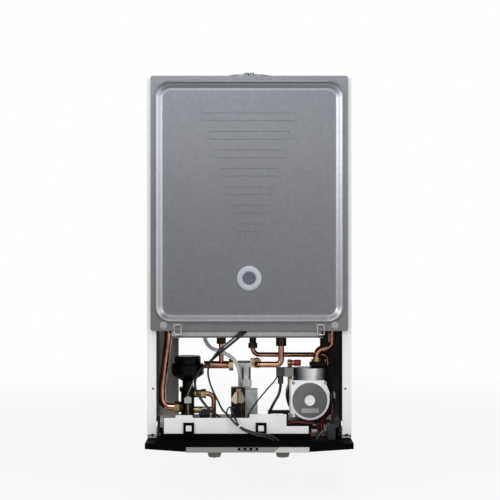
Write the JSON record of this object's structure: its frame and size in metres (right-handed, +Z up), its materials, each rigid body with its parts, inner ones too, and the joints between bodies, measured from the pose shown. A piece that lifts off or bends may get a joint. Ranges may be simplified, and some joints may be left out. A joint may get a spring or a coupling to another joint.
{
  "type": "wall-hung gas boiler",
  "caption": "Wall-hung gas boiler with its outer casing off: sealed chamber with latched cover, pump, gas valve and pipes below, and a control panel folded down on hinges.",
  "frame": {"origin": "midway between the two wall-hanging holes, on the wall plane", "axes": "+Z up, +Y into the wall, +X to the right seen from the front"},
  "size_m": [0.4, 0.351, 0.7665],
  "materials": {
    "white_paint": "satin",
    "galvanised": "spangled, dull",
    "plated_steel": "zinc plated",
    "aluminium": "cast",
    "copper": "drawn tube, slightly tarnished",
    "brass": "turned",
    "red_paint": "satin",
    "seal_rubber": "matte",
    "hose_rubber": "matte",
    "glass": "clear",
    "black_plastic": "fine grain",
    "gloss_black": "gloss",
    "white_plastic": "semi gloss",
    "grey_plastic": "fine grain",
    "cream_plastic": "fine grain",
    "red_plastic": "semi gloss",
    "label": "coated",
    "board": "lacquered",
    "lead_black": "matte"
  },
  "bodies": {
    "case": {"left_side_panel": "white_paint", "right_side_panel": "white_paint", "rear_frame": "galvanised", "chamber_shell": "galvanised", "chamber_floor": "galvanised", "combustion_box": "galvanised", "flue_hood": "galvanised", "fan_housing": "galvanised", "burner": "plated_steel", "hinge_brackets": "plated_steel", "flue_collar": "aluminium", "gas_valve": "aluminium", "pump_motor": "aluminium", "fan_motor": "aluminium", "flow_pipe": "copper", "return_pipe": "copper", "cold_pipe": "copper", "gas_pipe": "copper", "hot_water_pipes": "copper", "heat_exchanger": "copper", "brass_fittings": "brass", "connection_tails": "brass", "flow_column": "brass", "pump_vent_plug": "brass", "expansion_vessel": "red_paint", "floor_grommets": "seal_rubber", "air_hose": "hose_rubber", "diverter_valve": "black_plastic", "valve_coil": "black_plastic", "pump_group": "black_plastic", "pump_plug": "black_plastic", "pressure_switch": "black_plastic", "terminal_box": "gloss_black", "coil_plug": "cream_plastic", "pump_label": "label", "main_lead": "lead_black", "branch_lead": "lead_black", "pump_lead": "lead_black", "relay_lead": "lead_black"},
    "cover": {"chamber_cover": "galvanised", "cover_seal": "seal_rubber", "sight_ring": "grey_plastic", "sight_lens": "glass", "cover_fastenings": "plated_steel"},
    "left_bail": {"left_latch_bail": "plated_steel"},
    "right_bail": {"right_latch_bail": "plated_steel"},
    "panel": {"bezel": "black_plastic", "fascia_insert": "grey_plastic", "board_cover": "white_plastic", "control_board": "board", "wiring_box": "grey_plastic"},
    "heating_dial": {"heating_knob": "black_plastic"},
    "hot_water_dial": {"hot_water_knob": "black_plastic"},
    "button_left": {"left_button": "grey_plastic"},
    "button_middle": {"middle_button": "grey_plastic"},
    "button_right": {"right_button": "grey_plastic"},
    "fan": {"fan_wheel": "plated_steel"},
    "pump": {"pump_rotor": "plated_steel"},
    "relief": {"relief_knob": "red_plastic"},
    "filling_tap": {"filling_tap_knob": "black_plastic"}
  },
  "joints": [
    {"name": "cover_swing", "type": "hinge", "parent": "case", "child": "cover", "pos_m": [0, -0.3005, 0.03], "axis": [-1, 0, 0], "range_deg": [0, 30]},
    {"name": "left_bail_swing", "type": "hinge", "parent": "cover", "child": "left_bail", "pos_m": [-0.139, -0.3146, -0.456], "axis": [-1, 0, 0], "range_deg": [0, 110]},
    {"name": "right_bail_swing", "type": "hinge", "parent": "cover", "child": "right_bail", "pos_m": [0.139, -0.3146, -0.456], "axis": [-1, 0, 0], "range_deg": [0, 110]},
    {"name": "panel_fold", "type": "hinge", "parent": "case", "child": "panel", "pos_m": [0, -0.288, -0.666], "axis": [-1, 0, 0], "range_deg": [0, 90], "deforming": ["main_lead", "branch_lead", "pump_lead", "relay_lead"]},
    {"name": "heating_turn", "type": "hinge", "parent": "panel", "child": "heating_dial", "pos_m": [-0.0676, -0.31, -0.7], "axis": [0, 0, 1], "range_deg": [-135, 135]},
    {"name": "hot_water_turn", "type": "hinge", "parent": "panel", "child": "hot_water_dial", "pos_m": [0.0652, -0.31, -0.7], "axis": [0, 0, 1], "range_deg": [-135, 135]},
    {"name": "left_button_press", "type": "slide", "parent": "panel", "child": "button_left", "axis": [0, 1, 0], "range_m": [0, 0.0015], "stiffness_N_per_m": 300},
    {"name": "middle_button_press", "type": "slide", "parent": "panel", "child": "button_middle", "axis": [0, 1, 0], "range_m": [0, 0.0015], "stiffness_N_per_m": 300},
    {"name": "right_button_press", "type": "slide", "parent": "panel", "child": "button_right", "axis": [0, 1, 0], "range_m": [0, 0.0015], "stiffness_N_per_m": 300},
    {"name": "fan_spin", "type": "hinge", "parent": "case", "child": "fan", "pos_m": [0, -0.19, -0.035], "axis": [0, 1, 0], "continuous": true},
    {"name": "pump_spin", "type": "hinge", "parent": "case", "child": "pump", "pos_m": [0.1222, -0.17, -0.6131], "axis": [0, 1, 0], "continuous": true},
    {"name": "relief_turn", "type": "hinge", "parent": "case", "child": "relief", "pos_m": [0.093, -0.185, -0.541], "axis": [1, 0, 0], "range_deg": [0, 90]},
    {"name": "filling_tap_turn", "type": "hinge", "parent": "case", "child": "filling_tap", "pos_m": [-0.09, -0.23, -0.6395], "axis": [0, 1, 0], "range_deg": [0, 270]}
  ]
}
